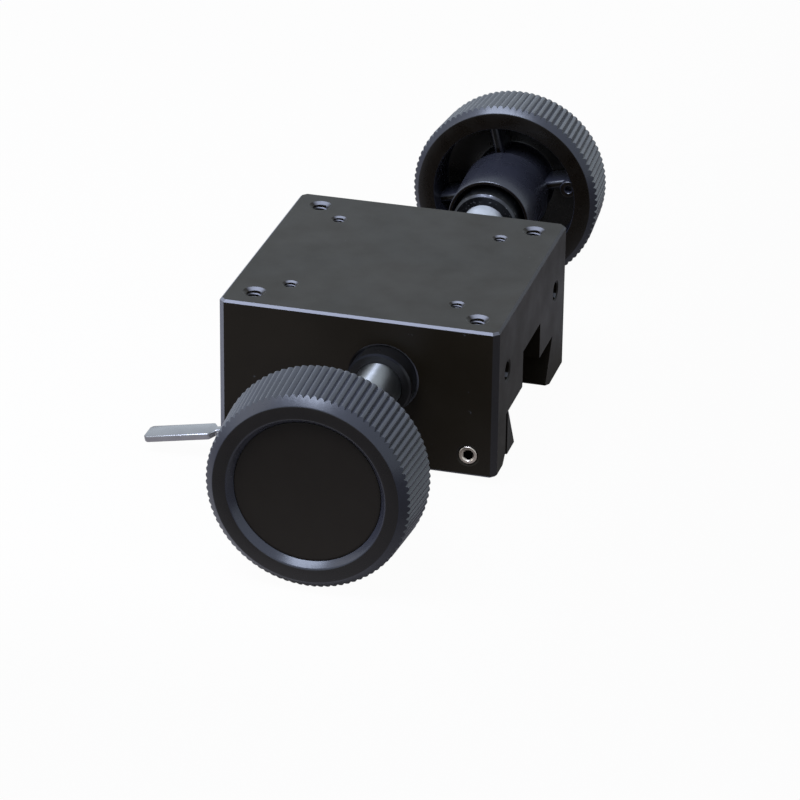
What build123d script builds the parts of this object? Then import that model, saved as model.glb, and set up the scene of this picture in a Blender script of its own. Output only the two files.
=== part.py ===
from build123d import *
import os
from math import atan, cos, pi, radians, sin, sqrt, tan

# Rack-and-pinion carriage for a 60 degree dovetail rail.
# X runs along the rail, Y across it along the pinion shaft, +Z is up.
# The origin is the middle of the top face, the centre of both hole patterns.
# Everything is in millimetres.

os.makedirs("parts", exist_ok=True)

# ---- carriage block ---------------------------------------------------
block_length = 60.0
block_width = 60.0
block_height = 33.0
corner_chamfer = 1.2
top_edge_chamfer = 0.5
bottom_edge_chamfer = 0.5

# ---- dovetail channel and rack slot, seen along X -------------------------
channel_mid_y = -0.6
channel_height = 11.3
dovetail_width = 38.3
flank_angle = 60.0
slot_width = 15.0
slot_top_height = 19.5
front_bevel_run = 2.6
front_bevel_rise = 2.3
jaw_bevel_run = 5.4
jaw_bevel_rise = 1.9

# ---- fixing holes in the top face ------------------------------------------
m4_spacing_x = 48.0
m4_spacing_y = 48.0
m4_tap_radius = 1.65
m4_tap_depth = 8.0
m4_mouth_radius = 2.5
m3_spacing_x = 36.0
m3_spacing_y = 36.0
m3_tap_radius = 1.25
m3_tap_depth = 6.0
m3_mouth_radius = 1.75
mouth_angle = 120.0

# ---- pinion shaft and its bushes -------------------------------------------
shaft_x = 5.7
shaft_height = 20.0
shaft_radius = 5.0
tooth_module = 0.8
tooth_count = 15
pressure_angle = 20.0
shaft_end_chamfer = 0.5
shaft_flat_depth = 0.5
shaft_flat_length = 6.0
bush_radius = 7.0
bush_proud = 4.0
bush_wall = 1.0
bush_edge = 0.4
bore_edge = 0.6
liner_length = 17.0
washer_thickness = 0.5
washer_radius = 6.6
end_float = 0.15

# ---- lock screws that hold the bushes --------------------------------------
lock_spacing = 42.0
lock_height = 21.2
lock_screw_length = 6.0

# ---- gib bar and its screws ----------------------------------------------------
gib_front_gap = 1.9
gib_top_land = 0.25
gib_top_gap = 0.4
gib_bottom_gap = 1.1
gib_end_gap = 0.1
screw_height = 4.7
screw_end_distance = 6.0
m4_radius = 2.0
m4_socket_flats = 2.0
m4_socket_depth = 2.2

# ---- clamp screw and its lever -------------------------------------------------
clamp_hub_radius = 3.6
clamp_hub_length = 6.2
clamp_hub_gap = 0.35
clamp_hub_edge = 0.5
clamp_pad_length = 3.6
clamp_pad_gap = 0.1
lever_droop = 12.4
lever_reach = 21.1
lever_rod_radius = 1.4
paddle_length = 12.5
paddle_width = 6.0
paddle_thickness = 0.95
paddle_shoulder = 1.4
paddle_corner = 0.5

# ---- knobs ----------------------------------------------------------------------
knob_standoff = 40.3
knob_thickness = 15.6
grip_radius = 21.6
grip_taper = 0.8
inner_chamfer = 1.8
outer_chamfer_run = 1.8
outer_chamfer_drop = 1.85
groove_count = 90
groove_depth = 0.6
groove_width = 1.0
face_rim = 2.8
dish_slope = 1.15
dish_depth = 1.5
disc_thickness = 0.6
cavity_rim = 3.4
knob_web = 2.1
rib_thickness = 3.0
rib_drop = 4.0
rib_turn = -21.0
rib_root = 0.5
boss_radius = 2.0
boss_hole_radius = 0.8
boss_drop = 2.0
boss_turn = 169.0
hub_reach = 13.8
hub_end_radius = 9.3
hub_root_radius = 10.4
hub_mouth_radius = 8.5
hub_mouth_depth = 3.0
collar_reach = 3.5
collar_radius = 7.5
collar_edge = 0.5
knob_screw_inset = 10.5
knob_screw_turn = -30.0
knob_screw_length = 4.0

# ---- fits -------------------------------------------------------------------------
running_fit = 0.04
seat_fit = 0.02
screw_fit = 0.05
disc_fit = 0.1

# ---- places worked out from the sizes ---------------------------------------------
front_y = -block_width / 2
rear_y = block_width / 2
bottom_z = -block_height
shaft_z = bottom_z + shaft_height
screw_z = bottom_z + screw_height
screw_x = block_length / 2 - screw_end_distance
lock_z = bottom_z + lock_height
flank_run = 1 / tan(radians(flank_angle))
gib_flank_top_y = channel_mid_y - dovetail_width / 2
gib_front_y = gib_flank_top_y - gib_top_land
front_wall_y = gib_front_y - gib_front_gap
front_wall = front_wall_y - front_y
jaw_top_y = channel_mid_y + dovetail_width / 2
slot_front_y = channel_mid_y - slot_width / 2
slot_rear_y = channel_mid_y + slot_width / 2
slot_top_z = bottom_z + slot_top_height
channel_top_z = bottom_z + channel_height
bush_bore = bush_radius + seat_fit
liner_radius = bush_radius - bush_wall
lock_x = shaft_x + bush_radius + seat_fit
knob_face = knob_standoff + knob_thickness
hub_standoff = knob_standoff - hub_reach
collar_standoff = hub_standoff - collar_reach
knob_screw_standoff = hub_standoff + knob_screw_inset
grip_radius_outer = grip_radius - grip_taper
dish_radius = grip_radius_outer - outer_chamfer_drop - face_rim
dish_floor_radius = dish_radius - dish_slope
cavity_radius = grip_radius - inner_chamfer - cavity_rim
cavity_floor = knob_face - dish_depth - disc_thickness - knob_web
shaft_standoff = cavity_floor - knob_web
shaft_axis = Axis((shaft_x, 0, shaft_z), (0, 1, 0))


def outward_plane(side, x, z):
    """Plane on the front (side -1) or rear (side 1) face, normal pointing away."""
    face_y = side * block_width / 2
    return Plane(origin=(x, face_y, z), x_dir=(-side, 0, 0), z_dir=(0, side, 0))


def profile_plane(side):
    """Half-section plane of the shaft axis: local x is radius, local y is distance out."""
    face_y = side * block_width / 2
    return Plane(origin=(shaft_x, face_y, shaft_z), x_dir=(1, 0, 0), z_dir=(0, 0, side))


def save(solid, name):
    solid.label = name
    export_step(solid, f"parts/{name}.step")


# ---- carriage block: milled bar with the channel, slot, bore and tapped holes --------
with BuildPart() as carriage_block:
    with BuildSketch(Plane.XY.offset(bottom_z)):
        Rectangle(block_length, block_width)
    extrude(amount=block_height)
    chamfer(carriage_block.edges().filter_by(Axis.Z), corner_chamfer)
    chamfer(carriage_block.faces().sort_by(Axis.Z)[-1].edges(), top_edge_chamfer)
    chamfer(carriage_block.faces().sort_by(Axis.Z)[0].edges(), bottom_edge_chamfer)

    with BuildSketch(Plane.YZ):
        with BuildLine():
            jaw_bevel_y = jaw_top_y - (channel_height - jaw_bevel_rise) * flank_run
            Polyline(
                (front_wall_y - front_bevel_run, bottom_z),
                (front_wall_y, bottom_z + front_bevel_rise),
                (front_wall_y, channel_top_z),
                (slot_front_y, channel_top_z),
                (slot_front_y, slot_top_z),
                (slot_rear_y, slot_top_z),
                (slot_rear_y, channel_top_z),
                (jaw_top_y, channel_top_z),
                (jaw_bevel_y, bottom_z + jaw_bevel_rise),
                (jaw_bevel_y + jaw_bevel_run, bottom_z),
                close=True,
            )
        make_face()
    extrude(amount=block_length, both=True, mode=Mode.SUBTRACT)

    with BuildSketch(outward_plane(-1, shaft_x, shaft_z)):
        Circle(bush_bore)
    extrude(amount=-block_width, mode=Mode.SUBTRACT)
    bore_circles = carriage_block.edges().filter_by(GeomType.CIRCLE).sort_by(Axis.Y)
    chamfer((bore_circles[0], bore_circles[-1]), bore_edge)

    with Locations(Plane.XY):
        with GridLocations(m4_spacing_x, m4_spacing_y, 2, 2):
            CounterSinkHole(m4_tap_radius, m4_mouth_radius, m4_tap_depth, mouth_angle)
        with GridLocations(m3_spacing_x, m3_spacing_y, 2, 2):
            CounterSinkHole(m3_tap_radius, m3_mouth_radius, m3_tap_depth, mouth_angle)

    with Locations(outward_plane(-1, 0, screw_z)):
        with Locations((screw_x, 0), (0, 0), (-screw_x, 0)):
            CounterSinkHole(m4_radius + screw_fit, m4_mouth_radius, front_wall, mouth_angle)

    right_face = Plane((block_length / 2, channel_mid_y, lock_z), x_dir=(0, 1, 0), z_dir=(1, 0, 0))
    lock_depth = block_length / 2 - shaft_x
    with Locations(right_face):
        with GridLocations(lock_spacing, 0, 2, 1):
            CounterSinkHole(m4_radius + screw_fit, m4_mouth_radius, lock_depth, mouth_angle)
save(carriage_block.part, "carriage_block")

# ---- gib bar: wedge section, flat in front and 60 degrees behind ---------------------
with BuildPart() as gib_bar:
    gib_top_z = channel_top_z - gib_top_gap
    gib_bottom_z = bottom_z + gib_bottom_gap
    with BuildSketch(Plane.YZ):
        with BuildLine():
            Polyline(
                (gib_front_y, gib_bottom_z),
                (gib_front_y, gib_top_z),
                (gib_flank_top_y + (channel_top_z - gib_top_z) * flank_run, gib_top_z),
                (gib_flank_top_y + (channel_top_z - gib_bottom_z) * flank_run, gib_bottom_z),
                close=True,
            )
        make_face()
    extrude(amount=block_length / 2 - gib_end_gap, both=True)
save(gib_bar.part, "gib_bar")


def set_screw(plane, length):
    """Socket set screw whose outer end lies in the plane."""
    with BuildPart() as screw:
        with BuildSketch(plane):
            Circle(m4_radius)
        extrude(amount=-length)
        with BuildSketch(plane):
            RegularPolygon(m4_socket_flats / 2, 6, major_radius=False)
        extrude(amount=-m4_socket_depth, mode=Mode.SUBTRACT)
    return screw.part


# ---- gib set screws, flush with the front face and bearing on the gib ----------------
screw_places = [outward_plane(-1, place_x, screw_z) for place_x in (screw_x, 0)]
screws = [set_screw(place, front_wall + gib_front_gap) for place in screw_places]
with BuildPart() as gib_set_screws:
    add(screws)
save(gib_set_screws.part, "gib_set_screws")

# ---- bush lock screws, deep in the two tapped holes of the right face ----------------
lock_ys = (channel_mid_y - lock_spacing / 2, channel_mid_y + lock_spacing / 2)
lock_ends = [(lock_x + lock_screw_length, lock_y, lock_z) for lock_y in lock_ys]
screws = [set_screw(Plane(end, (0, 1, 0), (1, 0, 0)), lock_screw_length) for end in lock_ends]
with BuildPart() as bush_lock_screws:
    add(screws)
save(bush_lock_screws.part, "bush_lock_screws")

# ---- bushes in the cross bore, each with a bronze liner ------------------------------
bush_depths = {-1: slot_front_y - front_y, 1: rear_y - slot_rear_y}
for side, name in ((-1, "front"), (1, "rear")):
    bush_inner_end = -bush_depths[side]
    liner_outer_end = bush_inner_end + liner_length

    with BuildPart() as bush:
        with BuildSketch(profile_plane(side)):
            with BuildLine():
                Polyline(
                    (liner_radius + seat_fit, bush_inner_end),
                    (bush_radius, bush_inner_end),
                    (bush_radius, bush_proud - bush_edge),
                    (bush_radius - bush_edge, bush_proud),
                    (shaft_radius + 2 * running_fit, bush_proud),
                    (shaft_radius + 2 * running_fit, liner_outer_end + seat_fit),
                    (liner_radius + seat_fit, liner_outer_end + seat_fit),
                    close=True,
                )
            make_face()
        revolve(axis=shaft_axis)
    save(bush.part, f"{name}_bush")

    with BuildPart() as liner:
        with BuildSketch(outward_plane(side, shaft_x, shaft_z).offset(bush_inner_end)):
            Circle(liner_radius)
            Circle(shaft_radius + running_fit, mode=Mode.SUBTRACT)
        extrude(amount=liner_length)
    save(liner.part, f"{name}_bush_liner")

# ---- thrust washers, one against each bush, at the ends of the pinion ----------------
with BuildPart() as thrust_washers:
    for side in (-1, 1):
        with BuildSketch(outward_plane(side, shaft_x, shaft_z).offset(-bush_depths[side])):
            Circle(washer_radius)
            Circle(shaft_radius + 2 * running_fit, mode=Mode.SUBTRACT)
        extrude(amount=-washer_thickness)
save(thrust_washers.part, "thrust_washers")

# ---- pinion shaft: one bar with involute teeth cut in its middle ---------------------
pitch_radius = tooth_module * tooth_count / 2
base_radius = pitch_radius * cos(radians(pressure_angle))
tip_radius = pitch_radius + tooth_module
root_radius = pitch_radius - 1.25 * tooth_module
pinion_width = slot_width - 2 * (washer_thickness + end_float)


def involute_angle(radius):
    """Polar angle of the involute at this radius, from its start on the base circle."""
    roll = sqrt(max((radius / base_radius) ** 2 - 1, 0))
    return roll - atan(roll)


def flank_point(radius, hand):
    """Point on one flank of the tooth that is centred on the local x axis."""
    half_tooth = pi / (2 * tooth_count) + involute_angle(pitch_radius)
    angle = hand * (half_tooth - involute_angle(radius))
    return (radius * cos(angle), radius * sin(angle))


def knob_screw_plane(side):
    """Plane through the shaft axis, normal to the grub screw of one knob."""
    screw_y = side * (block_width / 2 + knob_screw_standoff)
    outward = (cos(radians(knob_screw_turn)), 0, sin(radians(knob_screw_turn)))
    return Plane((shaft_x, screw_y, shaft_z), x_dir=(0, 1, 0), z_dir=outward)


with BuildPart() as pinion_shaft:
    with BuildSketch(outward_plane(-1, shaft_x, shaft_z).offset(shaft_standoff)):
        Circle(shaft_radius)
    extrude(amount=-(block_width + 2 * shaft_standoff))
    chamfer(pinion_shaft.edges().filter_by(GeomType.CIRCLE), shaft_end_chamfer)
    for side in (-1, 1):
        with BuildSketch(knob_screw_plane(side).offset(shaft_radius - shaft_flat_depth)):
            Rectangle(shaft_flat_length, 2 * shaft_radius)
        extrude(amount=shaft_flat_depth, mode=Mode.SUBTRACT)

    with BuildSketch(Plane((shaft_x, channel_mid_y, shaft_z), (1, 0, 0), (0, 1, 0))):
        with BuildLine():
            flank_radii = (base_radius, pitch_radius, tip_radius)
            left = Spline(*[flank_point(radius, 1) for radius in flank_radii])
            right = Spline(*[flank_point(radius, -1) for radius in flank_radii])
            Line(left @ 1, right @ 1)
            Polyline(left @ 0, (root_radius - tooth_module, 0), right @ 0)
        tooth = make_face()
        with PolarLocations(0, tooth_count - 1, 360 / tooth_count, 360 - 360 / tooth_count):
            add(tooth)
        Circle(root_radius)
    extrude(amount=pinion_width / 2, both=True)
save(pinion_shaft.part, "pinion_shaft")

# ---- knobs, each with its steel collar, grub screw and face disc ---------------------
for side, name in ((-1, "front"), (1, "rear")):
    knob_plane = outward_plane(side, shaft_x, shaft_z)
    collar_bore = collar_radius + seat_fit
    disc_seat = knob_face - dish_depth - disc_thickness

    with BuildPart() as knob:
        with BuildSketch(profile_plane(side)):
            with BuildLine():
                Polyline(
                    (0, shaft_standoff + seat_fit),
                    (collar_bore, shaft_standoff + seat_fit),
                    (collar_bore, hub_standoff + hub_mouth_depth),
                    (hub_mouth_radius, hub_standoff + hub_mouth_depth),
                    (hub_mouth_radius, hub_standoff),
                    (hub_end_radius, hub_standoff),
                    (hub_root_radius, cavity_floor),
                    (cavity_radius, cavity_floor),
                    (cavity_radius, knob_standoff),
                    (grip_radius - inner_chamfer, knob_standoff),
                    (grip_radius, knob_standoff + inner_chamfer),
                    (grip_radius_outer, knob_face - outer_chamfer_run),
                    (grip_radius_outer - outer_chamfer_drop, knob_face),
                    (dish_radius, knob_face),
                    (dish_floor_radius, knob_face - dish_depth),
                    (dish_floor_radius, disc_seat),
                    (0, disc_seat),
                    close=True,
                )
            make_face()
        revolve(axis=shaft_axis)

        with BuildSketch(knob_plane.offset(cavity_floor)):
            with PolarLocations((hub_end_radius + cavity_radius + rib_root) / 2, 4, rib_turn):
                Rectangle(cavity_radius + rib_root - hub_end_radius, rib_thickness)
        extrude(amount=knob_standoff + rib_drop - cavity_floor)
        boss_ring = cavity_radius + rib_root - boss_radius
        with BuildSketch(knob_plane.offset(cavity_floor)):
            with PolarLocations(boss_ring, 1, boss_turn):
                Circle(boss_radius)
        extrude(amount=knob_standoff + boss_drop - cavity_floor)
        with BuildSketch(knob_plane.offset(knob_standoff + boss_drop)):
            with PolarLocations(boss_ring, 1, boss_turn):
                Circle(boss_hole_radius)
        extrude(amount=boss_radius, mode=Mode.SUBTRACT)

        with BuildSketch(knob_screw_plane(side)):
            Circle(m4_radius + screw_fit)
        extrude(amount=hub_root_radius, mode=Mode.SUBTRACT)

        groove_floor = grip_radius_outer - groove_depth
        groove_top = grip_radius + groove_depth
        with BuildSketch(knob_plane.offset(knob_standoff)):
            with PolarLocations(0, groove_count):
                Polygon(
                    (groove_floor, 0),
                    (groove_top, groove_width),
                    (groove_top, -groove_width),
                    align=None,
                )
        extrude(amount=knob_thickness, mode=Mode.SUBTRACT)
    save(knob.part, f"{name}_knob")

    with BuildPart() as collar:
        with BuildSketch(knob_plane.offset(collar_standoff)):
            Circle(collar_radius)
        extrude(amount=shaft_standoff - collar_standoff)
        chamfer(collar.edges().filter_by(GeomType.CIRCLE), collar_edge)
        with BuildSketch(knob_plane.offset(collar_standoff)):
            Circle(shaft_radius + seat_fit)
        extrude(amount=shaft_standoff - collar_standoff, mode=Mode.SUBTRACT)
        with BuildSketch(knob_screw_plane(side)):
            Circle(m4_radius + screw_fit)
        extrude(amount=hub_root_radius, mode=Mode.SUBTRACT)
    save(collar.part, f"{name}_knob_collar")

    screw_end = shaft_radius - shaft_flat_depth + seat_fit + knob_screw_length
    grub_screw = set_screw(knob_screw_plane(side).offset(screw_end), knob_screw_length)
    save(grub_screw, f"{name}_knob_grub_screw")

    with BuildPart() as disc:
        with BuildSketch(knob_plane.offset(disc_seat)):
            Circle(dish_floor_radius - disc_fit)
        extrude(amount=disc_thickness)
    save(disc.part, f"{name}_knob_disc")

# ---- clamp screw: round hub in front of the block, plain shank through the wall ------
clamp_plane = outward_plane(-1, -screw_x, screw_z)
clamp_hub_middle = clamp_hub_gap + clamp_hub_length / 2
droop = radians(lever_droop)
lever_direction = (-cos(droop), 0, -sin(droop))
lever_normal = (-sin(droop), 0, cos(droop))
lever_origin = (-screw_x, front_y - clamp_hub_middle, screw_z)
lever_flat = Plane(lever_origin, x_dir=lever_direction, z_dir=lever_normal)
lever_end_on = Plane(lever_origin, x_dir=(0, 1, 0), z_dir=lever_direction)
lever_socket = clamp_hub_radius / 2

with BuildPart() as clamp_screw:
    with BuildSketch(clamp_plane.offset(clamp_hub_gap)):
        Circle(clamp_hub_radius)
    extrude(amount=clamp_hub_length)
    chamfer(clamp_screw.edges().filter_by(GeomType.CIRCLE), clamp_hub_edge)
    with BuildSketch(clamp_plane.offset(clamp_hub_gap)):
        Circle(m4_radius)
    shank_length = clamp_hub_gap + front_wall + gib_front_gap - clamp_pad_length - clamp_pad_gap
    extrude(amount=-shank_length)
    with BuildSketch(lever_end_on.offset(lever_socket)):
        Circle(lever_rod_radius + seat_fit)
    extrude(amount=clamp_hub_radius, mode=Mode.SUBTRACT)
save(clamp_screw.part, "clamp_screw")

# ---- clamp lever: a rod pressed flat into a paddle -----------------------------------
with BuildPart() as clamp_lever:
    paddle_start = lever_reach - paddle_length
    with BuildSketch(lever_end_on.offset(lever_socket + seat_fit)):
        Circle(lever_rod_radius)
    extrude(amount=paddle_start + paddle_shoulder - lever_socket)
    with BuildSketch(lever_flat.offset(lever_rod_radius - paddle_thickness)):
        with BuildLine():
            Polyline(
                (paddle_start - paddle_shoulder, lever_rod_radius / 2),
                (paddle_start, paddle_width / 2),
                (lever_reach, paddle_width / 2),
                (lever_reach, -paddle_width / 2),
                (paddle_start, -paddle_width / 2),
                (paddle_start - paddle_shoulder, -lever_rod_radius / 2),
                close=True,
            )
        make_face()
    extrude(amount=paddle_thickness)
    tip_edges = clamp_lever.edges().filter_by(Axis(lever_origin, lever_normal)).sort_by(Axis.X)[0:2]
    fillet(tip_edges, paddle_corner)
save(clamp_lever.part, "clamp_lever")

# ---- brass clamp pad between the screw and the gib -----------------------------------
with BuildPart() as clamp_pad:
    with BuildSketch(clamp_plane.offset(-front_wall - gib_front_gap)):
        Circle(m4_radius - screw_fit)
    extrude(amount=clamp_pad_length)
save(clamp_pad.part, "clamp_pad")
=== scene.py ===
# %% [markdown]
# # A rack-and-pinion carriage for a dovetail rail
# The carriage is a black anodised block that slides along a dovetail rail. A steel shaft
# passes through it from front to back, with a pinion in the middle and a ribbed plastic
# knob at each end, and a small stainless lever clamps the carriage to its rail.
#
# The machined parts come in finished, as a fixed frame, so that their places can't drift.
# What is left is what makes such a part look real: the moulded knobs, the screws, the
# threads, the finishes and the light. Everything is in metres, because the frame is, and
# the lengths below are written in millimetres times `mm`, as they are on a drawing.

# %% Load the machined parts
import math

import bpy
from mathutils import Matrix, Vector


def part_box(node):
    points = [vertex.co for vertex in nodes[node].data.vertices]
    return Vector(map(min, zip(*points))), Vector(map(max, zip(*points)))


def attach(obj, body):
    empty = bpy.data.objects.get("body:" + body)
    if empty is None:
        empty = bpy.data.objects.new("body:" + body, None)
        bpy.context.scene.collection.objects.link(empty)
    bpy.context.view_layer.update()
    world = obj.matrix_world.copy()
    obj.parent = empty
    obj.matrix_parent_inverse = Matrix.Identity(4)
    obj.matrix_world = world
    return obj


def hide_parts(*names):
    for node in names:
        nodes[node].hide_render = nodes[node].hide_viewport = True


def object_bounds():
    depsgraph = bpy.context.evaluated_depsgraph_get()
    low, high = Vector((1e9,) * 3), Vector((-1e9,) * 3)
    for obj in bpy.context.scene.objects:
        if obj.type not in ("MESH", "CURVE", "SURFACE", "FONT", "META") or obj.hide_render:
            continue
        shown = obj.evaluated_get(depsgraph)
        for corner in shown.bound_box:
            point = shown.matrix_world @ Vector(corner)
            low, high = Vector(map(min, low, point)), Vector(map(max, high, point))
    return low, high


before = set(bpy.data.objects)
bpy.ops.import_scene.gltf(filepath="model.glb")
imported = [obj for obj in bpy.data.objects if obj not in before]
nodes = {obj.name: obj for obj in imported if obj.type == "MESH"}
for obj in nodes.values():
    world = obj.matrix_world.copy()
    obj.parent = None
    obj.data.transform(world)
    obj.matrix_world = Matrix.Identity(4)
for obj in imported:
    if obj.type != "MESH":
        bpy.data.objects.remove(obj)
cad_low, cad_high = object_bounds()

mm = 0.001
same_place = 0.01 * mm
print("machined pieces:", len(nodes))
print("overall size in mm:", [round(length / mm, 1) for length in cad_high - cad_low])

# %% [markdown]
# ## Small habits that keep operators safe
# Blender's operators act on whatever is selected, so each step starts by clearing the
# selection, and faces, edges or vertices are then chosen in code by where they are. That is
# the same thing a person does with box select, but it gives the same result on every run.
# A finished piece has its place applied, so that its object sits at the origin.

# %% Helpers for selecting and settling
def start_clean():
    """Leave edit mode and deselect everything."""
    if bpy.context.object and bpy.context.object.mode != "OBJECT":
        bpy.ops.object.mode_set(mode="OBJECT")
    bpy.ops.object.select_all(action="DESELECT")


def name_piece(name):
    """Name the primitive that was just added and apply its place."""
    piece = bpy.context.object
    piece.name = name
    piece.data.name = name
    bpy.ops.object.transform_apply(location=True, rotation=True, scale=True)
    return piece


def only(piece):
    """Make this piece the one that operators act on."""
    start_clean()
    bpy.context.view_layer.objects.active = piece
    piece.select_set(True)


def choose(piece, kind, test):
    """In edit mode, select only the vertices, edges or faces for which test is true."""
    only(piece)
    bpy.ops.object.mode_set(mode="EDIT")
    bpy.ops.mesh.select_mode(type=kind)
    bpy.ops.mesh.select_all(action="DESELECT")
    bpy.ops.object.mode_set(mode="OBJECT")
    parts = {"VERT": piece.data.vertices, "EDGE": piece.data.edges, "FACE": piece.data.polygons}
    for part in parts[kind]:
        part.select = test(part)
    bpy.ops.object.mode_set(mode="EDIT")


def copy_of(piece, name):
    """A copy with its own mesh."""
    only(piece)
    bpy.ops.object.duplicate(linked=False)
    twin = bpy.context.object
    twin.name = name
    twin.data.name = name
    return twin


def turn_mesh(piece, angle, axis, centre):
    """Turn the mesh of a piece about an axis through the centre."""
    choose(piece, "VERT", lambda vertex: True)
    bpy.ops.transform.rotate(value=angle, orient_axis=axis, center_override=centre)
    bpy.ops.object.mode_set(mode="OBJECT")


def shift(piece, step):
    """Move the mesh of a piece."""
    choose(piece, "VERT", lambda vertex: True)
    bpy.ops.transform.translate(value=step)
    bpy.ops.object.mode_set(mode="OBJECT")


def join(parts):
    """Join finished parts into the first of them."""
    start_clean()
    for part in parts:
        part.select_set(True)
    bpy.context.view_layer.objects.active = parts[0]
    bpy.ops.object.join()
    return parts[0]


def cut(piece, cutter):
    """Take the cutter's shape out of the piece and delete the cutter."""
    only(piece)
    boolean = piece.modifiers.new("cut", "BOOLEAN")
    boolean.operation = "DIFFERENCE"
    boolean.solver = "EXACT"
    boolean.object = cutter
    bpy.ops.object.modifier_apply(modifier="cut")
    bpy.data.objects.remove(cutter)


def soften(piece, width, segments, angle=30):
    """Round the sharp edges of a finished form, as a tumbler or a mould does."""
    only(piece)
    bevel = piece.modifiers.new("soften", "BEVEL")
    bevel.width = width
    bevel.segments = segments
    bevel.limit_method = "ANGLE"
    bevel.angle_limit = math.radians(angle)
    bevel.use_clamp_overlap = True
    bpy.ops.object.modifier_apply(modifier="soften")


def smooth(piece, angle):
    """Smooth shading that keeps edges sharper than the angle."""
    only(piece)
    bpy.ops.object.shade_smooth_by_angle(angle=math.radians(angle))


print("helpers ready")

# %% [markdown]
# ## Where the shaft is
# The knobs turn on the shaft, so its axis is measured from the machined parts. The axis
# runs along Y. A *standoff* is a distance out from the front or rear face of the block, and
# the names of standoffs below end in `out`.

# %% Measure the shaft axis and the block's front face
knob_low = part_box("front_knob")[0]
block_low, block_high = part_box("carriage_block")
bush_low, bush_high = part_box("front_bush")
shaft_x = (bush_low.x + bush_high.x) / 2
shaft_z = (bush_low.z + bush_high.z) / 2
block_front = block_low.y
shaft_centre = (shaft_x, 0, shaft_z)
print("shaft axis x, z in mm:", round(shaft_x / mm, 2), round(shaft_z / mm, 2))
print("knob reaches out from the block by mm:", round((block_front - knob_low.y) / mm, 2))

# %% [markdown]
# ## The knob: a turned form
# The knob is a phenolic moulding: a ribbed rim, a dished face for a disc, and on the back
# a deep hollow round a long hub. Almost all of it is round, so it is drawn as half a
# section and spun, which is how its mould was turned. Building it from stacked cylinders
# would leave seams between them, and a sculpted disc would never be truly round.
#
# The section starts as one vertex, a plane merged to its centre, and grows by extruding
# from corner to corner. Corners that a mould leaves rounded get a vertex bevel first.

# %% The knob's radii
hub_bore = 7.52
hub_mouth = 8.5
hub_end = 9.3
hub_shoulder = 10.0
hub_root = 8.9
hollow = 16.4
rim_back = 20.2
grip_back = 21.6
grip_front = 20.8
face_edge = 18.95
dish = 16.15
dish_floor = 15.0
print("knob radii run from", hub_bore, "to", grip_back, "mm")

# %% Its standoffs, and the section from corner to corner
hub_face_out = 26.5
mouth_floor_out = 29.5
rim_back_out = 40.6
grip_back_out = 42.1
shoulder_out = 42.9
shoulder_foot_out = 43.2
bore_floor_out = 49.62
hollow_floor_out = 51.7
disc_seat_out = 53.8
grip_front_out = 54.1
dish_floor_out = 54.4
face_out = 55.9

knob_section = [
    (0, bore_floor_out),
    (hub_bore, bore_floor_out),
    (hub_bore, mouth_floor_out),
    (hub_mouth, mouth_floor_out),
    (hub_mouth, hub_face_out),
    (hub_end, hub_face_out),
    (hub_shoulder, shoulder_out),
    (hub_root, shoulder_foot_out),
    (hub_root, hollow_floor_out),
    (hollow, hollow_floor_out),
    (hollow, rim_back_out),
    (rim_back, rim_back_out),
    (grip_back, grip_back_out),
    (grip_front, grip_front_out),
    (face_edge, face_out),
    (dish, face_out),
    (dish_floor, dish_floor_out),
    (dish_floor, disc_seat_out),
    (0, disc_seat_out),
]
rounded_corners = [
    ((hub_mouth, hub_face_out), 0.25),
    ((hub_end, hub_face_out), 0.3),
    ((hub_shoulder, shoulder_out), 0.3),
    ((hub_root, hollow_floor_out), 0.8),
    ((hollow, hollow_floor_out), 0.8),
    ((hollow, rim_back_out), 0.3),
    ((rim_back, rim_back_out), 0.15),
    ((face_edge, face_out), 0.18),
    ((dish, face_out), 0.35),
]
print("section corners:", len(knob_section), "and of these rounded:", len(rounded_corners))

# %% Draw the section
def section_place(radius, standoff):
    """Where a section point lies on the front knob, in metres."""
    return Vector((shaft_x + radius * mm, block_front - standoff * mm, shaft_z))


start_clean()
bpy.ops.mesh.primitive_plane_add(size=mm, location=section_place(*knob_section[0]))
front_knob = name_piece("front_knob_moulding")
choose(front_knob, "VERT", lambda vertex: True)
bpy.ops.mesh.merge(type="CENTER")
for here, there in zip(knob_section, knob_section[1:]):
    step = section_place(*there) - section_place(*here)
    bpy.ops.mesh.extrude_region_move(TRANSFORM_OT_translate={"value": step})
bpy.ops.object.mode_set(mode="OBJECT")
print("section points drawn:", len(front_knob.data.vertices))

# %% Round the section's corners
for corner, radius in rounded_corners:
    place = section_place(*corner)
    choose(front_knob, "VERT", lambda vertex: (vertex.co - place).length < same_place)
    bpy.ops.mesh.bevel(offset=radius * mm, segments=3, affect="VERTICES")
bpy.ops.object.mode_set(mode="OBJECT")
print("section points after rounding:", len(front_knob.data.vertices))

# %% [markdown]
# ## Spin the section, in steps that suit the ribs
# The rim has 90 ribs. Eight steps to a rib are enough to give it a rounded crest and a
# narrow groove, so the section is spun in 720 steps of half a degree. After the spin the
# first and last section lie on each other, and so do the points on the axis, and both
# are merged before the normals are made to point outwards.

# %% Spin the knob
rib_count = 90
steps_per_rib = 8
spin_steps = rib_count * steps_per_rib

choose(front_knob, "VERT", lambda vertex: True)
bpy.ops.mesh.spin(steps=spin_steps, angle=2 * math.pi, center=shaft_centre, axis=(0, 1, 0))
bpy.ops.mesh.select_all(action="SELECT")
bpy.ops.mesh.remove_doubles(threshold=0.001 * mm)
bpy.ops.mesh.normals_make_consistent(inside=False)
bpy.ops.object.mode_set(mode="OBJECT")
print("knob faces after the spin:", len(front_knob.data.polygons))

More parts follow.
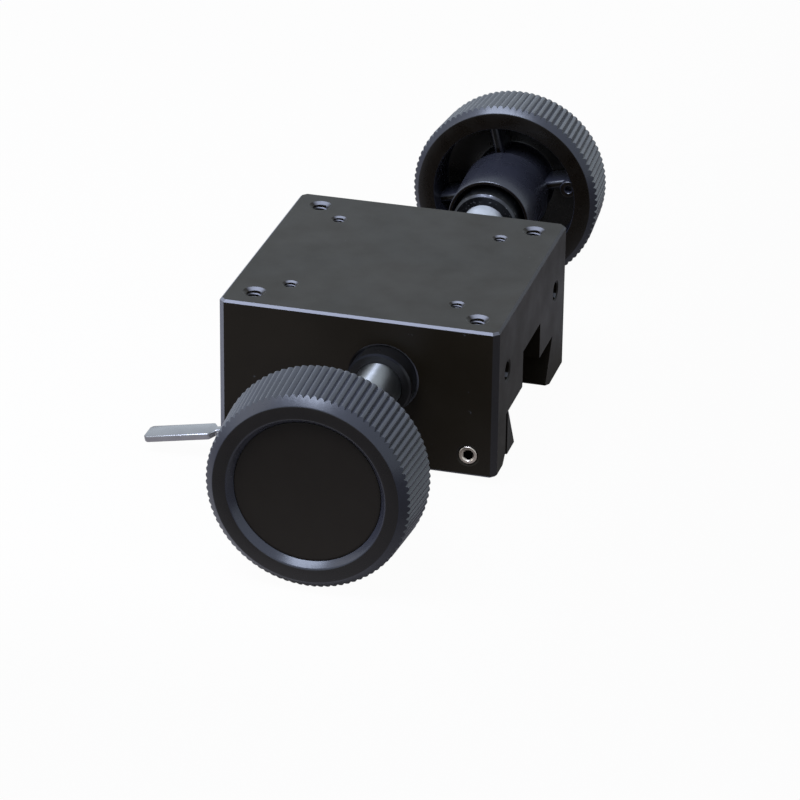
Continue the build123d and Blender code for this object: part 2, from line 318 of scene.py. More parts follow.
# %% [markdown]
# ## Press the grooves into the rim
# A groove could be cut with ninety boolean cutters, but the mesh already has a point
# wherever a groove needs one. So the points of the two rings that bound the grip are
# moved inwards, most at the middle of a groove and less beside it. They also slide along
# the axis, down the chamfer at each end, so each groove runs out on it in a small notch.

# %% Shape the ribs
groove_depths = [0.52, 0.34, 0.13, 0.035, 0.0, 0.035, 0.13, 0.34]
back_run_out = (grip_back_out - rim_back_out) / (grip_back - rim_back)
front_run_out = (face_out - grip_front_out) / (grip_front - face_edge)
grip_ends = [
    (grip_back, grip_back_out, back_run_out),
    (grip_front, grip_front_out, -front_run_out),
]


def spin_step(vertex):
    """Which half-degree step of the spin this vertex lies on."""
    turn = math.atan2(vertex.co.z - shaft_z, vertex.co.x - shaft_x)
    return round(math.degrees(turn) * spin_steps / 360)


def on_ring(vertex, radius, standoff):
    """Is this vertex on the ring of that radius and standoff?"""
    from_axis = math.hypot(vertex.co.z - shaft_z, vertex.co.x - shaft_x)
    near_radius = abs(from_axis - radius * mm) < same_place
    return near_radius and abs(block_front - vertex.co.y - standoff * mm) < same_place


for ring_radius, ring_standoff, run_out in grip_ends:
    steps = {}
    for vertex in front_knob.data.vertices:
        if on_ring(vertex, ring_radius, ring_standoff):
            steps[vertex.index] = spin_step(vertex) % steps_per_rib
    for position, depth in enumerate(groove_depths):
        if depth:
            choose(front_knob, "VERT", lambda vertex: steps.get(vertex.index) == position)
            scale = (ring_radius - depth) / ring_radius
            bpy.ops.transform.resize(value=(scale, 1, scale), center_override=shaft_centre)
            bpy.ops.transform.translate(value=(0, depth * run_out * mm, 0))
            bpy.ops.object.mode_set(mode="OBJECT")
    print("points on the ring of radius", ring_radius, ":", len(steps))

# %% [markdown]
# ## Webs and a boss in the knob's hollow
# Four webs with rounded tops join the hub to the rim inside the hollow, and a small round
# boss, where the plastic entered the mould, stands at the rim. A web is a block with its
# edges rounded, sunk a little into the hub, the rim and the floor, so that no gap shows
# where they meet. It is modelled once, and then copied and turned.

# %% Model one web and turn copies of it
web_turn = math.radians(-14)
web_inner = 8.4
web_outer = 16.9
web_thick = 2.2
web_out = 44.3
web_rounding = 1.0
sunk = 0.3
rooted_out = hollow_floor_out + sunk

start_clean()
bpy.ops.mesh.primitive_cube_add(
    size=1,
    location=(shaft_x + (web_inner + web_outer) / 2 * mm,
              block_front - (web_out + rooted_out) / 2 * mm, shaft_z),
    scale=((web_outer - web_inner) * mm, (rooted_out - web_out) * mm, web_thick * mm),
)
first_web = name_piece("web_0")
soften(first_web, web_rounding * mm, 5)
webs = [first_web] + [copy_of(first_web, f"web_{number}") for number in range(1, 4)]
for number, web in enumerate(webs):
    turn_mesh(web, web_turn + number * math.pi / 2, "Y", shaft_centre)
print("webs:", len(webs), "each of", len(first_web.data.polygons), "faces")

# %% Model the moulding boss and join the knob
boss_angle = math.radians(169)
boss_ring = 14.9
boss_radius = 2.0
boss_wall = 1.2
boss_pit = 2.0
boss_out = 42.3
boss_rounding = 0.35
rib_edge_angle = 28

start_clean()
bpy.ops.mesh.primitive_cylinder_add(
    vertices=32,
    radius=boss_radius * mm,
    depth=(rooted_out - boss_out) * mm,
    location=(shaft_x + boss_ring * mm * math.cos(boss_angle),
              block_front - (rooted_out + boss_out) / 2 * mm,
              shaft_z + boss_ring * mm * math.sin(boss_angle)),
    rotation=(math.pi / 2, 0, 0),
)
boss = name_piece("boss")
choose(boss, "FACE", lambda face: face.normal.y > 0.9)
bpy.ops.mesh.inset(thickness=boss_wall * mm)
bpy.ops.mesh.extrude_region_move(TRANSFORM_OT_translate={"value": (0, -boss_pit * mm, 0)})
bpy.ops.object.mode_set(mode="OBJECT")
soften(boss, boss_rounding * mm, 3)
front_knob = join([front_knob, *webs, boss])
smooth(front_knob, rib_edge_angle)
print("front knob faces:", len(front_knob.data.polygons))

# %% [markdown]
# ## The second knob and the grub screw holes
# Both knobs come from one mould, so the rear one is the front one turned half a turn about
# an upright line through the shaft. Each hub then gets its cross hole for a grub screw,
# bored last because both holes point the same way on the finished carriage.

# %% Copy the knob and bore the hubs
rear_knob = copy_of(front_knob, "rear_knob_moulding")
turn_mesh(rear_knob, math.pi, "Z", shaft_centre)

grub_turn = math.radians(-30)
grub_direction = Vector((math.cos(grub_turn), 0, math.sin(grub_turn)))
grub_out = 37.0
grub_hole = 2.05
drill_length = 7.0
hub_wall_middle = 8.5


def bore_hub(knob, side):
    """Bore the cross hole through one wall of the hub."""
    middle = Vector(shaft_centre) + grub_direction * hub_wall_middle * mm
    middle.y = side * (abs(block_front) + grub_out * mm)
    start_clean()
    bpy.ops.mesh.primitive_cylinder_add(
        vertices=40, radius=grub_hole * mm, depth=drill_length * mm, location=middle
    )
    drill = name_piece("drill")
    turn_mesh(drill, grub_turn - math.pi / 2, "Y", middle)
    cut(knob, drill)
    smooth(knob, rib_edge_angle)


bore_hub(front_knob, -1)
bore_hub(rear_knob, 1)

# %% [markdown]
# ## The disc in the knob's face
# A thin disc closes the dish. It is a cylinder whose edge is softened, so that a fine line
# of light can run round it where it meets the dish, and a shallow line is pressed into its
# face near the edge by two insets.

# %% Model the face disc
disc_radius = 14.9
disc_thick = 0.6
line_inset = 0.5
line_width = 0.35
line_depth = 0.06
disc_rounding = 0.08

start_clean()
bpy.ops.mesh.primitive_cylinder_add(
    vertices=180,
    radius=disc_radius * mm,
    depth=disc_thick * mm,
    location=(shaft_x, block_front - (disc_seat_out + disc_thick / 2) * mm, shaft_z),
    rotation=(math.pi / 2, 0, 0),
)
front_disc = name_piece("front_face_disc")
soften(front_disc, disc_rounding * mm, 2)
choose(front_disc, "FACE", lambda face: face.normal.y < -0.99 and len(face.vertices) > 20)
bpy.ops.mesh.inset(thickness=line_inset * mm)
bpy.ops.mesh.inset(thickness=line_width * mm, depth=-line_depth * mm)
bpy.ops.object.mode_set(mode="OBJECT")
smooth(front_disc, 30)
rear_disc = copy_of(front_disc, "rear_face_disc")
turn_mesh(rear_disc, math.pi, "Z", shaft_centre)
print("disc diameter in mm:", round(front_disc.dimensions.x / mm, 2))

# %% [markdown]
# ## Set screws
# A socket set screw has no head: its end shows as a bright ring round a hexagon. Here the
# hexagon is cut from a chamfered cylinder, and the mouth of the socket is opened with a
# cone, because that small cone is what catches the light on a real screw.

# %% Model one set screw, standing upright with its outer end at the origin
screw_radius = 1.99
screw_length = 10.0
screw_chamfer = 0.28
socket_width = 2.0
socket_depth = 2.2
mouth_bottom_radius = 0.7
mouth_radius = 1.45
mouth_depth = 0.55
mouth_overlap = 0.05


def set_screw(name):
    """A set screw that points down from the origin."""
    start_clean()
    bpy.ops.mesh.primitive_cylinder_add(
        vertices=48, radius=screw_radius * mm, depth=screw_length * mm,
        location=(0, 0, -screw_length / 2 * mm),
    )
    screw = name_piece(name)
    soften(screw, screw_chamfer * mm, 3)
    start_clean()
    bpy.ops.mesh.primitive_cylinder_add(
        vertices=6, radius=socket_width / math.sqrt(3) * mm, depth=2 * socket_depth * mm
    )
    cut(screw, name_piece("hexagon"))
    start_clean()
    bpy.ops.mesh.primitive_cone_add(
        vertices=48, radius1=mouth_bottom_radius * mm, radius2=mouth_radius * mm,
        depth=(mouth_depth + mouth_overlap) * mm,
        location=(0, 0, -(mouth_depth - mouth_overlap) / 2 * mm),
    )
    cut(screw, name_piece("socket_mouth"))
    smooth(screw, 30)
    return screw


first_screw = set_screw("gib_screw_0")
print("set screw faces:", len(first_screw.data.polygons))

# %% Put the two gib screws in their holes
def point_along(piece, outward, place):
    """Turn an upright piece so that its outer end faces outward, and move it to its place."""
    turn = Vector((0, 0, 1)).rotation_difference(Vector(outward)).to_matrix().to_4x4()
    only(piece)
    piece.matrix_world = Matrix.Translation(place) @ turn
    bpy.ops.object.transform_apply(location=True, rotation=True, scale=True)


clamp_above_bottom = 4.7
clamp_height = block_low.z + clamp_above_bottom * mm
gib_screw_xs = (24 * mm, 0)
gib_screws = [first_screw, copy_of(first_screw, "gib_screw_1")]
for screw, place_x in zip(gib_screws, gib_screw_xs):
    point_along(screw, (0, -1, 0), (place_x, block_front, clamp_height))
gib_screws = join(gib_screws)
gib_screws.name = "gib_screws"
print("gib screws made:", len(gib_screw_xs))

# %% [markdown]
# ## Threads in the tapped holes
# Looking down a tapped hole, the thread shows as fine bright rings. A real thread is one
# ridge on a helix, and the Screw modifier makes just that from a small triangle: one turn
# per pitch, as many turns as the hole is deep. Rings stacked on each other would be
# quicker, but the helix also looks right where it starts at the mouth.

# %% Model one thread
overlap = 0.02
ridge_squeeze = (0.55, 1, 0.9)
steps_per_turn = 28


def thread(name, bore_radius, pitch, turns):
    """An internal thread going down from just under the origin."""
    bottom = -turns * pitch * mm
    start_clean()
    bpy.ops.mesh.primitive_circle_add(
        vertices=3, radius=pitch / 2 * mm, fill_type="NGON",
        location=((bore_radius - overlap) * mm, 0, bottom),
        rotation=(math.pi / 2, 0, 0),
    )
    ridge = name_piece(name)
    choose(ridge, "VERT", lambda vertex: True)
    bpy.ops.transform.rotate(
        value=math.pi / 2, orient_axis="Y",
        center_override=((bore_radius - overlap) * mm, 0, bottom),
    )
    bpy.ops.transform.resize(value=ridge_squeeze, center_override=(bore_radius * mm, 0, bottom))
    bpy.ops.mesh.delete(type="ONLY_FACE")
    bpy.ops.object.mode_set(mode="OBJECT")
    helix = ridge.modifiers.new("helix", "SCREW")
    helix.axis = "Z"
    helix.angle = 2 * math.pi
    helix.screw_offset = pitch * mm
    helix.iterations = turns
    helix.steps = steps_per_turn
    helix.render_steps = steps_per_turn
    helix.use_merge_vertices = False
    only(ridge)
    bpy.ops.object.modifier_apply(modifier="helix")
    bpy.ops.object.mode_set(mode="EDIT")
    bpy.ops.mesh.select_mode(type="EDGE")
    bpy.ops.mesh.select_all(action="DESELECT")
    bpy.ops.mesh.select_non_manifold()
    bpy.ops.mesh.fill()
    bpy.ops.mesh.select_all(action="SELECT")
    bpy.ops.mesh.normals_make_consistent(inside=False)
    bpy.ops.object.mode_set(mode="OBJECT")
    smooth(ridge, 40)
    return ridge


print("thread helper ready, steps to a turn:", steps_per_turn)

# %% Copy the threads to the corners of their squares
def threads_on_a_square(name, spacing, start, **sizes):
    """Four copies of one thread, on the corners of a square in the top face."""
    first = thread(name, **sizes)
    copies = [first] + [copy_of(first, f"{name}_{number}") for number in range(1, 4)]
    corners = [(1, 1), (1, -1), (-1, 1), (-1, -1)]
    half = spacing / 2 * mm
    for copy, (side_x, side_y) in zip(copies, corners):
        shift(copy, (side_x * half, side_y * half, block_high.z - start * mm))
    return join(copies)


large_threads = threads_on_a_square(
    "large_threads", spacing=48, start=0.75, bore_radius=1.65, pitch=0.7, turns=9
)
small_threads = threads_on_a_square(
    "small_threads", spacing=36, start=0.5, bore_radius=1.25, pitch=0.5, turns=10
)
for threads in (large_threads, small_threads):
    print(threads.name, "faces:", len(threads.data.polygons))

# %% [markdown]
# ## The clamp lever
# The lever is a round stainless rod with its end pressed flat in a die. It starts as a
# block for the paddle. The face towards the pivot is extruded and narrowed twice, first
# into the sloping shoulders and then into the neck, so the metal flows in one surface.
# The rod is a cylinder that begins inside the neck. The tip's corners are cut off by a
# bevel of its two upright edges, and only then are all edges softened.

# %% Model the lever level
lever_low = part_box("clamp_lever")[0]
pivot_x = -24
pivot_out = 3.45
lever_pivot = Vector((pivot_x * mm, block_front - pivot_out * mm, clamp_height))
lever_reach = 20.98
paddle_length = 14.6
paddle_width = 5.5
paddle_thickness = 1.45
shoulder_length = 1.1
neck_length = 1.5
buried_length = 1.2
buried_drop = 0.4
neck_below_top = 0.75
shoulder_taper = (1, 0.38, 0.95)
neck_taper = (1, 0.9, 1.25)
rod_radius = 1.4

start_clean()
bpy.ops.mesh.primitive_cube_add(
    size=1,
    location=lever_pivot + Vector((-(lever_reach - paddle_length / 2) * mm, 0,
                                   (rod_radius - paddle_thickness / 2) * mm)),
    scale=(paddle_length * mm, paddle_width * mm, paddle_thickness * mm),
)
lever = name_piece("pressed_lever")
paddle_start = lever_pivot.x - (lever_reach - paddle_length) * mm
neck_middle = (paddle_start, lever_pivot.y, lever_pivot.z + (rod_radius - neck_below_top) * mm)


def extrude_by(x, z=0.0):
    """Extrude the chosen face along the lever, and down or up."""
    bpy.ops.mesh.extrude_region_move(TRANSFORM_OT_translate={"value": (x * mm, 0, z * mm)})


choose(lever, "FACE", lambda face: face.normal.x > 0.9)
extrude_by(shoulder_length)
bpy.ops.transform.resize(value=shoulder_taper, center_override=neck_middle)
extrude_by(neck_length)
bpy.ops.transform.resize(value=neck_taper, center_override=neck_middle)
extrude_by(buried_length, -buried_drop)
bpy.ops.object.mode_set(mode="OBJECT")
print("lever faces before rounding:", len(lever.data.polygons))

# %% Cut the tip's corners and soften the edges
tip_cut = 0.7
pressed_rounding = 0.3
tip_x = min(vertex.co.x for vertex in lever.data.vertices)


def upright_at_tip(edge):
    """Is this one of the two upright edges at the paddle's end?"""
    ends = [lever.data.vertices[index].co for index in edge.vertices]
    at_tip = all(abs(end.x - tip_x) < same_place for end in ends)
    return at_tip and abs(ends[0].z - ends[1].z) > 0.5 * paddle_thickness * mm


choose(lever, "EDGE", upright_at_tip)
bpy.ops.mesh.bevel(offset=tip_cut * mm, segments=1)
bpy.ops.object.mode_set(mode="OBJECT")
soften(lever, pressed_rounding * mm, 3, angle=20)
print("lever faces after rounding:", len(lever.data.polygons))

# %% Add the rod and tilt the lever
rod_inner = 1.8
rod_outer = 5.2
rod_gap = 0.02
rod_rounding = 0.5
lever_droop = math.radians(10.8)

start_clean()
bpy.ops.mesh.primitive_cylinder_add(
    vertices=40,
    radius=(rod_radius - rod_gap) * mm,
    depth=(rod_outer - rod_inner) * mm,
    location=lever_pivot + Vector((-(rod_inner + rod_outer) / 2 * mm, 0, 0)),
    rotation=(0, math.pi / 2, 0),
)
rod = name_piece("lever_rod")
soften(rod, rod_rounding * mm, 4)
lever = join([lever, rod])
turn_mesh(lever, lever_droop, "Y", lever_pivot)
smooth(lever, 35)
made_low = [min(vertex.co[axis] for vertex in lever.data.vertices) for axis in range(3)]
print("lever tip in mm:", [round(length / mm, 2) for length in made_low])
print("machined lever tip in mm:", [round(length / mm, 2) for length in lever_low])

# %% [markdown]
# ## Give each piece to the body that carries it
# The knobs and their discs turn with the shaft, the lever swings with the clamp screw, and
# the screws and threads stay in the block. A piece that stands in for a machined one also
# says which, so that the plain one is hidden.

# %% Ride and replace, from a table that also lists each finish
riding = [
    (front_knob, "pinion_drive", "knob_plastic", ["front_knob"]),
    (rear_knob, "pinion_drive", "knob_plastic", ["rear_knob"]),
    (front_disc, "pinion_drive", "knob_disc_plastic", ["front_knob_disc"]),
    (rear_disc, "pinion_drive", "knob_disc_plastic", ["rear_knob_disc"]),
    (gib_screws, "carriage", "set_screw_steel", ["gib_set_screws"]),
    (large_threads, "carriage", "black_anodised", []),
    (small_threads, "carriage", "black_anodised", []),
    (lever, "clamp", "lever_stainless", ["clamp_lever"]),
]
for piece, body, slot_name, replaced in riding:
    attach(piece, body)
    if replaced:
        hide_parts(*replaced)
    print(piece.name, "rides on", body)

# %% [markdown]
# ## Materials from the same few moves
# Each finish is a Principled shader with three things varied by noise: a slight drift of
# the colour, patches of more and less gloss, and a fine bump. Real surfaces are told
# apart mostly by the last two. All patterns read Object coordinates, so they stay the same
# size on a small screw and on a large block.

# %% Helpers for building a finish
def new_finish(name):
    """An empty finish: the material, its node tree and its shader."""
    material = bpy.data.materials.new(name)
    material.use_nodes = True
    tree = material.node_tree
    return material, tree, tree.nodes["Principled BSDF"]


def noise(tree, scale, detail, stretch=(1, 1, 1)):
    """Noise on Object coordinates, stretched along the axes."""
    place = tree.nodes.new("ShaderNodeTexCoord")
    mapping = tree.nodes.new("ShaderNodeMapping")
    mapping.inputs["Scale"].default_value = stretch
    texture = tree.nodes.new("ShaderNodeTexNoise")
    texture.inputs["Scale"].default_value = scale
    texture.inputs["Detail"].default_value = detail
    tree.links.new(place.outputs["Object"], mapping.inputs["Vector"])
    tree.links.new(mapping.outputs["Vector"], texture.inputs["Vector"])
    return texture.outputs["Fac"]


def drift(tree, value, dark, light):
    """A colour that drifts between two near ones."""
    ramp = tree.nodes.new("ShaderNodeValToRGB")
    ramp.color_ramp.elements[0].position = 0.35
    ramp.color_ramp.elements[1].position = 0.65
    ramp.color_ramp.elements[0].color = (*dark, 1)
    ramp.color_ramp.elements[1].color = (*light, 1)
    tree.links.new(value, ramp.inputs["Fac"])
    return ramp.outputs["Color"]


def between(tree, value, start, end, low=0.0, high=1.0):
    """A number that goes from low to high while the value goes from start to end."""
    scale = tree.nodes.new("ShaderNodeMapRange")
    scale.inputs["From Min"].default_value = start
    scale.inputs["From Max"].default_value = end
    scale.inputs["To Min"].default_value = low
    scale.inputs["To Max"].default_value = high
    tree.links.new(value, scale.inputs["Value"])
    return scale.outputs["Result"]


def spread(tree, value, low, high):
    """A number that moves between low and high with the noise."""
    return between(tree, value, 0.3, 0.7, low, high)


def mix_colours(tree, mask, first, second):
    """The first colour where the mask is 0, the second where it is 1."""
    mix = tree.nodes.new("ShaderNodeMix")
    mix.data_type = "RGBA"
    mix.inputs["B"].default_value = (*second, 1)
    tree.links.new(mask, mix.inputs["Factor"])
    tree.links.new(first, mix.inputs["A"])
    return mix.outputs["Result"]


def bump(tree, shader, heights):
    """A chain of bumps, each a (value, height in metres) pair."""
    normal = None
    for value, height in heights:
        node = tree.nodes.new("ShaderNodeBump")
        node.inputs["Distance"].default_value = height
        node.inputs["Strength"].default_value = 1.0
        tree.links.new(value, node.inputs["Height"])
        if normal:
            tree.links.new(normal, node.inputs["Normal"])
        normal = node.outputs["Normal"]
    tree.links.new(normal, shader.inputs["Normal"])


def wear(tree, colour, worn, scale, low, high):
    """Mix small worn specks over a colour."""
    specks = between(tree, noise(tree, scale, 5.0), low, high)
    return mix_colours(tree, specks, colour, worn)


print("finish helpers ready")

# %% [markdown]
# ## Masks that know which way a face looks
# Here the colour changes with the way a face looks, as painted light: chamfers and walls
# that look towards the light take a painted highlight, and the knobs' faces square to the
# shaft a painted shade. The normal of a face says which kind it is. On a flat face one part
# of the normal is 1, on a face at 45 degrees the largest is about 0.7. Such a mask needs no
# image, and it turns with the piece, because it reads the normal that the object itself has.

# %% Helpers for masks
def split(tree, output):
    """The X, Y and Z parts of the place or the normal on the object."""
    place = tree.nodes.new("ShaderNodeTexCoord")
    parts = tree.nodes.new("ShaderNodeSeparateXYZ")
    tree.links.new(place.outputs[output], parts.inputs["Vector"])
    return parts.outputs


def maths(tree, operation, *values):
    """The result of a Math node on node outputs and decimal numbers."""
    node = tree.nodes.new("ShaderNodeMath")
    node.operation = operation
    for socket, value in zip(node.inputs, values):
        if isinstance(value, float):
            socket.default_value = value
        else:
            tree.links.new(value, socket)
    return node.outputs["Value"]


def chamfer_highlight_mask(tree):
    """1 on chamfers and on the far walls of countersinks, where a painted highlight goes, little
    on what looks to the right.
    """
    normal = split(tree, "Normal")
    sizes = [maths(tree, "ABSOLUTE", normal[axis]) for axis in "XYZ"]
    largest = maths(tree, "MAXIMUM", maths(tree, "MAXIMUM", sizes[0], sizes[1]), sizes[2])
    chamfer = between(tree, largest, 0.84, 0.76)
    # A countersink's far wall looks up and to the front, but is not level as the top face is.
    not_level = between(tree, normal["Z"], 0.96, 0.92)
    looks_up = maths(tree, "GREATER_THAN", normal["Z"], 0.76)
    looks_forward = between(tree, normal["Y"], -0.22, -0.42)
    far_wall = maths(tree, "MULTIPLY", maths(tree, "MULTIPLY", not_level, looks_forward), looks_up)
    # Chamfers and far walls that face the light take the painted highlight; faces that look to the
    # right get less of it.
    highlighted = maths(tree, "MAXIMUM", chamfer, far_wall)
    not_right = between(tree, normal["X"], 0.4, 0.6, 1.0, 0.15)
    return maths(tree, "MULTIPLY", highlighted, not_right)


def painted_shade_on_flat_faces(tree):
    """1 on faces square to the shaft, where painted shade goes, 0 on ribs, chamfers and slopes."""
    along = maths(tree, "ABSOLUTE", split(tree, "Normal")["Y"])
    return between(tree, along, 0.90, 0.97)


def deep(tree, from_y):
    """0 at the outer end of a screw that faces the front, 1 in its socket, which oil and painted
    shade darken.
    """
    fade = 0.35 * mm
    return between(tree, split(tree, "Object")["Y"], from_y, from_y + fade)


print("mask helpers ready")

# %% [markdown]
# ## Black anodised aluminium
# Anodising leaves the milling marks under a thin hard black skin. The skin is nearly black
# but it has a satin sheen at a low angle, which is why the top of such a block looks grey
# while the side facing you looks black. Fine marks run across the block, square to the
# shaft, and a few pale specks show where the skin has been rubbed. The chamfers and the far
# walls of the countersinks are given a cool metal colour and shine as a painted highlight,
# weaker on faces that look to the right, but those of the bushes stay dark.

# %% The finish of the block, the gib and the bushes
# The painted highlight on the chamfers: a cool metal colour, and the roughness that spreads it.
chamfer_highlight_colour = (0.19, 0.187, 0.205)
chamfer_highlight_roughness = 0.7


def anodised(name, dark, light, rough, level, painted_chamfer_colour):
    """A black skin, with a painted highlight of another colour and a metal's shine on the
    chamfers.
    """
    material, tree, shader = new_finish(name)
    marks = noise(tree, 900, 2.0, (0.05, 1, 1))
    grain = noise(tree, 5200, 2.0)
    colour = drift(tree, noise(tree, 45, 4.0), dark, light)
    colour = wear(tree, colour, (0.06, 0.06, 0.06), 620, 0.72, 0.78)
    # The chamfer mask paints a highlight: a metal colour and a metal's shine.
    chamfers = chamfer_highlight_mask(tree)
    colour = mix_colours(tree, chamfers, colour, painted_chamfer_colour)
    tree.links.new(colour, shader.inputs["Base Color"])
    tree.links.new(chamfers, shader.inputs["Metallic"])
    satin = spread(tree, noise(tree, 130, 5.0), *rough)
    chamfer_roughness = tree.nodes.new("ShaderNodeMix")
    chamfer_roughness.inputs["B"].default_value = chamfer_highlight_roughness
    tree.links.new(chamfers, chamfer_roughness.inputs["Factor"])
    tree.links.new(satin, chamfer_roughness.inputs["A"])
    tree.links.new(chamfer_roughness.outputs["Result"], shader.inputs["Roughness"])
    bump(tree, shader, [(marks, 0.0000012), (grain, 0.0000016)])
    shader.inputs["Specular IOR Level"].default_value = level
    return material


black_anodised = anodised(
    "black_anodised",
    dark=(0.0100, 0.0072, 0.0038),
    light=(0.0140, 0.0102, 0.0058),
    rough=(0.34, 0.44),
    level=0.14,
    painted_chamfer_colour=chamfer_highlight_colour,
)
gib_anodised = anodised(
    "gib_anodised",
    dark=(0.012, 0.010, 0.008),
    light=(0.020, 0.017, 0.014),
    rough=(0.32, 0.46),
    level=0.25,
    painted_chamfer_colour=chamfer_highlight_colour,
)
bush_black = anodised(
    "bush_black",
    dark=(0.006, 0.0055, 0.005),
    light=(0.010, 0.009, 0.009),
    rough=(0.26, 0.36),
    level=0.25,
    painted_chamfer_colour=(0.012, 0.012, 0.014),
)
print("anodised finishes:", black_anodised.name, gib_anodised.name, bush_black.name)

# %% [markdown]
# ## Moulded plastic
# Phenolic is black with a soft satin sheen and the fine grain of its mould. The ribs,
# chamfers and slopes are given a cooler, lighter colour, a painted sheen, while the faces
# square to the shaft are given a deep brown black, a painted shade. The mask for them is the
# part of the normal that lies along the shaft. The gloss varies in patches a few millimetres wide.

# %% The finish of the knobs and their discs
def moulded(name, dark, light, flat, rough, level, grain_height):
    """Black plastic with a painted shade, a browner colour, on the faces square to the shaft."""
    material, tree, shader = new_finish(name)
    grain = noise(tree, 3600, 3.0)
    flow = noise(tree, 240, 4.0)
    colour = drift(tree, noise(tree, 70, 5.0), dark, light)
    # Faces square to the shaft take the flat colour as painted shade; the cooler colour elsewhere
    # is a painted sheen.
    colour = mix_colours(tree, painted_shade_on_flat_faces(tree), colour, flat)
    tree.links.new(colour, shader.inputs["Base Color"])
    tree.links.new(spread(tree, flow, *rough), shader.inputs["Roughness"])
    bump(tree, shader, [(flow, 0.000004), (grain, grain_height)])
    shader.inputs["Specular IOR Level"].default_value = level
    return material


# The cooler, lighter colour is a painted sheen; flat is the brown black of painted shade.
knob_plastic = moulded(
    "knob_plastic",
    dark=(0.020, 0.0205, 0.028),
    light=(0.028, 0.0285, 0.038),
    flat=(0.005, 0.0032, 0.0018),
    rough=(0.24, 0.33),
    level=0.42,
    grain_height=0.0000018,
)
knob_disc_plastic = moulded(
    "knob_disc_plastic",
    dark=(0.014, 0.0112, 0.0080),
    light=(0.019, 0.0150, 0.0110),
    flat=(0.015, 0.0115, 0.0080),
    rough=(0.40, 0.50),
    level=0.16,
    grain_height=0.0000016,
)
print("moulded finishes:", knob_plastic.name, knob_disc_plastic.name)

# %% [markdown]
# ## Bare and blackened metals
# Ground steel carries fine rings left by the wheel, and stainless that was pressed keeps
# faint lengthwise lines. Both are noise squeezed along one axis. The rings also pull a
# highlight out across them, which is what the anisotropy of the shaft does. Blackened steel
# is the same metal under a thin dark oxide, worn through in small specks.

# %% A finish for any bare metal
def metal(name, dark, light, rough, lines, line_height, stretch=(1, 1, 1),
          worn=None, oil_and_shade_beyond=None, turned=False):
    """Metal with fine lines, and if asked for with specks, a socket darkened by oil and painted
    shade, or a turned shine.
    """
    material, tree, shader = new_finish(name)
    line_noise = noise(tree, lines, 2.0, stretch)
    colour = drift(tree, noise(tree, 160, 5.0), dark, light)
    if worn:
        colour = wear(tree, colour, worn, 1500, 0.62, 0.7)
    if oil_and_shade_beyond:
        # The socket is darkened by oil and by painted shade.
        colour = mix_colours(tree, deep(tree, oil_and_shade_beyond), colour, (0.012, 0.010, 0.008))
    tree.links.new(colour, shader.inputs["Base Color"])
    tree.links.new(spread(tree, line_noise, *rough), shader.inputs["Roughness"])
    bump(tree, shader, [(line_noise, line_height), (noise(tree, 2500, 2.0), line_height)])
    shader.inputs["Metallic"].default_value = 1.0
    if turned:
        shader.inputs["Anisotropic"].default_value = 0.85
        shader.inputs["Anisotropic Rotation"].default_value = 0.25
    return material


print("metal helper ready")

# %% The steels
ground_steel = metal(
    "ground_steel", (0.27, 0.272, 0.275), (0.33, 0.332, 0.335), rough=(0.46, 0.58),
    lines=420, line_height=0.000004, stretch=(1, 9, 1), turned=True,
)
lever_stainless = metal(
    "lever_stainless", (0.25, 0.243, 0.25), (0.305, 0.297, 0.303), rough=(0.20, 0.28),
    lines=1400, line_height=0.0000004, stretch=(0.15, 1, 1),
)
set_screw_steel = metal(
    "set_screw_steel", (0.44, 0.38, 0.31), (0.58, 0.50, 0.43), rough=(0.24, 0.36),
    lines=1800, line_height=0.0000006, oil_and_shade_beyond=block_front + 0.1 * mm,
)
clamp_screw_steel = metal(
    "clamp_screw_steel", (0.30, 0.30, 0.30), (0.42, 0.42, 0.41), rough=(0.28, 0.40),
    lines=900, line_height=0.0000012, stretch=(1, 6, 1),
)
washer_steel = metal(
    "washer_steel", (0.40, 0.40, 0.40), (0.50, 0.50, 0.50), rough=(0.30, 0.42),
    lines=1600, line_height=0.0000012,
)
print("steels:", ground_steel.name, lever_stainless.name, set_screw_steel.name)

# %% Bronze, brass and blackened steel
sintered_bronze = metal(
    "sintered_bronze", (0.30, 0.19, 0.10), (0.42, 0.28, 0.15), rough=(0.42, 0.56),
    lines=3200, line_height=0.000003,
)
pad_brass = metal(
    "pad_brass", (0.55, 0.42, 0.20), (0.66, 0.52, 0.27), rough=(0.28, 0.40),
    lines=1200, line_height=0.0000012, stretch=(1, 5, 1),
)
black_oxide_screw = metal(
    "black_oxide_screw", (0.020, 0.020, 0.021), (0.045, 0.044, 0.045), rough=(0.34, 0.46),
    lines=1600, line_height=0.0000015, worn=(0.22, 0.22, 0.22),
)
collar_black = metal(
    "collar_black", (0.022, 0.022, 0.024), (0.050, 0.050, 0.054), rough=(0.30, 0.44),
    lines=900, line_height=0.000002, stretch=(1, 4, 1), worn=(0.20, 0.20, 0.21),
)
print("other metals:", sintered_bronze.name, pad_brass.name, collar_black.name)

# %% [markdown]
# ## Put the finishes on
# The machined pieces keep their meshes and take a new material in their slot. Two lists,
# one for the machined pieces and one for those modelled here, say which piece takes which
# finish, and can be read like a parts list.

